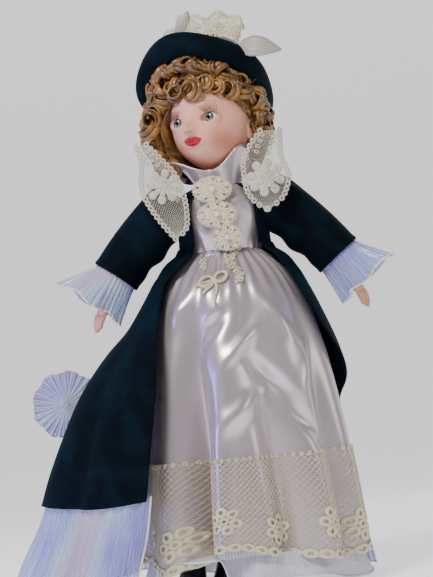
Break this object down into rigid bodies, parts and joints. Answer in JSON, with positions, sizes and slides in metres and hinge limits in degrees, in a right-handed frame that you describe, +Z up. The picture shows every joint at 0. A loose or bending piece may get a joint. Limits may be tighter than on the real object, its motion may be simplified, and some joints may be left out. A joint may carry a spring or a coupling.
{
  "type": "porcelain doll",
  "caption": "Standing bisque doll with a cloth body, glass eyes and curled wig, in a satin and lace dress, an open velvet coat and a rolled-brim hat.",
  "frame": {"origin": "middle of the bounding box on the surface that the doll stands on", "axes": "+Z up, the doll's front faces -Y, the doll's own left-hand side is at +X"},
  "size_m": [0.3176, 0.2296, 0.4489],
  "materials": {
    "bisque": "matt-fired bisque with a faint sheen, painted blush on the cheeks and red lips",
    "cloth_body": "plain woven muslin, stuffed",
    "velvet": "dark blue-green velvet with a short sheen nap",
    "satin": "ivory satin with pale lavender highlights",
    "lace": "cream lace with flower motifs on diamond net",
    "organza": "stiff shot organza, lavender with blue, pink and green",
    "petticoat_net": "grey-white sheer petticoat cloth",
    "hair": "golden-brown curled wig fibre with a gloss",
    "lash_hair": "fine brown lash fibre",
    "eye_glass": "grey-green iris and dark pupil on a white eye, polished",
    "pearl": "white pearl bead, glossy",
    "boot_leather": "black polished leather",
    "steel": "plain steel",
    "wood": "turned plain wood"
  },
  "bodies": {
    "torso": {"cloth_torso": "cloth_body", "shoulder_plate": "bisque", "dress_bodice": "satin", "dress_collar": "satin", "dress_skirt": "satin", "skirt_lace_band": "lace", "petticoat": "petticoat_net", "petticoat_flounce": "petticoat_net", "waist_bow": "lace", "coat_bodice": "velvet", "coat_skirt_right": "velvet", "coat_skirt_left": "velvet", "coat_skirt_back": "velvet", "coat_hem_ruffle": "organza", "side_flounce": "organza", "lace_lapel_right": "lace", "lace_lapel_left": "lace", "lace_rosette_top": "lace", "pearl_top": "pearl", "lace_rosette_middle": "lace", "pearl_middle": "pearl", "lace_rosette_waist": "lace", "pearl_waist": "pearl"},
    "neck": {"neck_bolt": "steel", "neck_washer": "steel", "neck_button": "wood"},
    "head": {"porcelain_head": "bisque", "head_pate": "cloth_body", "right_eye": "eye_glass", "right_eyelashes": "lash_hair", "left_eye": "eye_glass", "left_eyelashes": "lash_hair", "wig_cap": "cloth_body", "wig_curls": "hair", "hat_crown": "velvet", "hat_brim": "velvet", "hat_lace_ruffle": "lace", "hat_loop_left": "organza", "hat_loop_right": "organza"},
    "right_arm": {"right_upper_arm": "cloth_body", "right_arm_wire": "steel", "right_forearm": "bisque", "right_sleeve": "velvet", "right_cuff": "organza"},
    "right_leg": {"right_thigh": "cloth_body", "right_shin": "bisque", "right_pantaloon": "petticoat_net", "right_boot": "boot_leather", "right_boot_sole": "boot_leather"},
    "left_arm": {"left_upper_arm": "cloth_body", "left_arm_wire": "steel", "left_forearm": "bisque", "left_sleeve": "velvet", "left_cuff": "organza"},
    "left_leg": {"left_thigh": "cloth_body", "left_shin": "bisque", "left_pantaloon": "petticoat_net", "left_boot": "boot_leather", "left_boot_sole": "boot_leather"}
  },
  "joints": [
    {"name": "neck_tilt", "type": "hinge", "parent": "torso", "child": "neck", "pos_m": [0.02531, -0.01115, 0.31], "axis": [0, 1, 0], "range_deg": [-4, 4]},
    {"name": "head_turn", "type": "hinge", "parent": "neck", "child": "head", "pos_m": [0.02531, -0.01115, 0.31], "axis": [0, 0, 1], "range_deg": [-20, 60]},
    {"name": "right_shoulder", "type": "hinge", "parent": "torso", "child": "right_arm", "pos_m": [-0.01269, -0.01115, 0.297], "axis": [-1, 0, 0], "range_deg": [-25, 90]},
    {"name": "right_hip", "type": "hinge", "parent": "torso", "child": "right_leg", "pos_m": [0.01181, -0.01115, 0.188], "axis": [-1, 0, 0], "range_deg": [-8, 8]},
    {"name": "left_shoulder", "type": "hinge", "parent": "torso", "child": "left_arm", "pos_m": [0.06331, -0.01115, 0.297], "axis": [-1, 0, 0], "range_deg": [-25, 90]},
    {"name": "left_hip", "type": "hinge", "parent": "torso", "child": "left_leg", "pos_m": [0.03881, -0.01115, 0.188], "axis": [-1, 0, 0], "range_deg": [-8, 8]}
  ]
}
